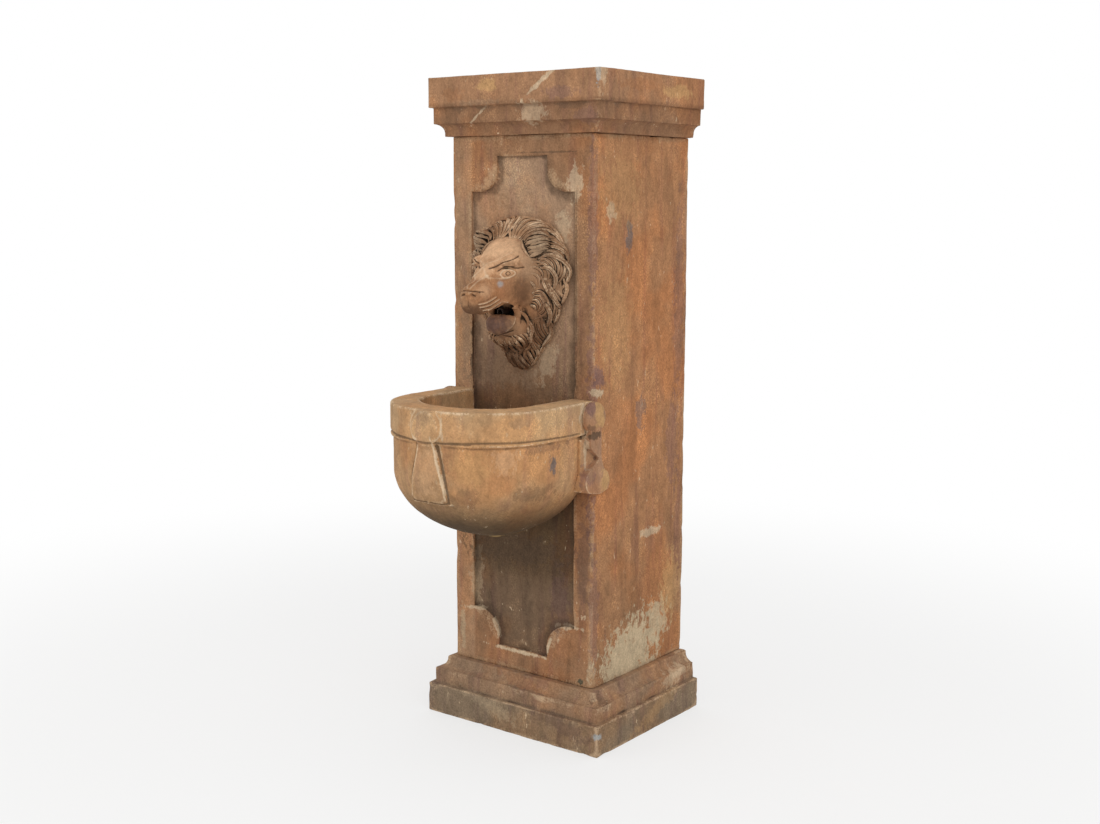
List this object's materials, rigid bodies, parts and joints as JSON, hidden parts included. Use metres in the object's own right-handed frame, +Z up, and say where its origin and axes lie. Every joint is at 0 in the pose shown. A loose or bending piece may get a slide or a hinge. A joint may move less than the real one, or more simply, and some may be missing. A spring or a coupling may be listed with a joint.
{
  "type": "garden wall fountain",
  "caption": "Pedestal wall fountain in cast stone: a hollow column with moulded base and cap, a D-shaped bowl, and a lion's head that spouts into it, fed by a small pump.",
  "frame": {"origin": "on the floor, in the middle of the column's front face", "axes": "+X to the right seen from the front, +Y towards the wall behind, +Z up"},
  "size_m": [0.468, 0.6555, 1.4],
  "materials": {
    "base_stone": "rough cast, weathered",
    "column_stone": "rough cast, weathered",
    "cap_stone": "rough cast, weathered",
    "bowl_stone": "rough cast, weathered",
    "lion_stone": "carved, weathered",
    "stainless_steel": "brushed",
    "black_rubber": "matt",
    "brass": "dull",
    "plug_rubber": "matt",
    "copper": "aged copper",
    "hose_plastic": "smooth",
    "pump_plastic": "satin",
    "dial_plastic": "satin",
    "rotor_plastic": "satin",
    "shaft_ceramic": "polished"
  },
  "bodies": {
    "fountain": {"base_plinth": "base_stone", "column_shaft": "column_stone", "cap_stone": "cap_stone", "bowl": "bowl_stone", "console_left": "bowl_stone", "console_right": "bowl_stone", "lion_mask": "lion_stone", "mask_dowels": "stainless_steel", "console_dowels": "stainless_steel", "bowl_bolts": "stainless_steel", "bowl_washers_steel": "stainless_steel", "bowl_nuts": "stainless_steel", "hose_clamps": "stainless_steel", "bowl_washers_rubber": "black_rubber", "bowl_hose_stopper": "black_rubber", "spout_washer": "black_rubber", "pump_feet": "black_rubber", "pump_cable_gland": "black_rubber", "drain_bush": "brass", "drain_nut": "brass", "spout_lock_nut": "brass", "spout_elbow": "brass", "spout_tube": "copper", "riser_hose": "hose_plastic", "pump_body": "pump_plastic", "pump_volute_cover": "pump_plastic", "pump_outlet_nozzle": "dial_plastic", "pump_shaft": "shaft_ceramic"},
    "impeller": {"pump_impeller": "rotor_plastic"},
    "strainer": {"pump_strainer_cover": "pump_plastic"},
    "flow_dial": {"pump_flow_dial": "dial_plastic"},
    "plug": {"drain_plug": "plug_rubber"}
  },
  "joints": [
    {"name": "impeller_spin", "type": "hinge", "parent": "fountain", "child": "impeller", "pos_m": [0.06, -0.115, 0.533], "axis": [0, 1, 0], "continuous": true},
    {"name": "strainer_pull", "type": "slide", "parent": "fountain", "child": "strainer", "axis": [0, -1, 0], "range_m": [0, 0.035]},
    {"name": "flow_dial_turn", "type": "hinge", "parent": "strainer", "child": "flow_dial", "pos_m": [0.06, -0.135, 0.533], "axis": [0, -1, 0], "range_deg": [0, 60]},
    {"name": "drain_plug_lift", "type": "slide", "parent": "fountain", "child": "plug", "axis": [0, 0, 1], "range_m": [0, 0.06]}
  ]
}
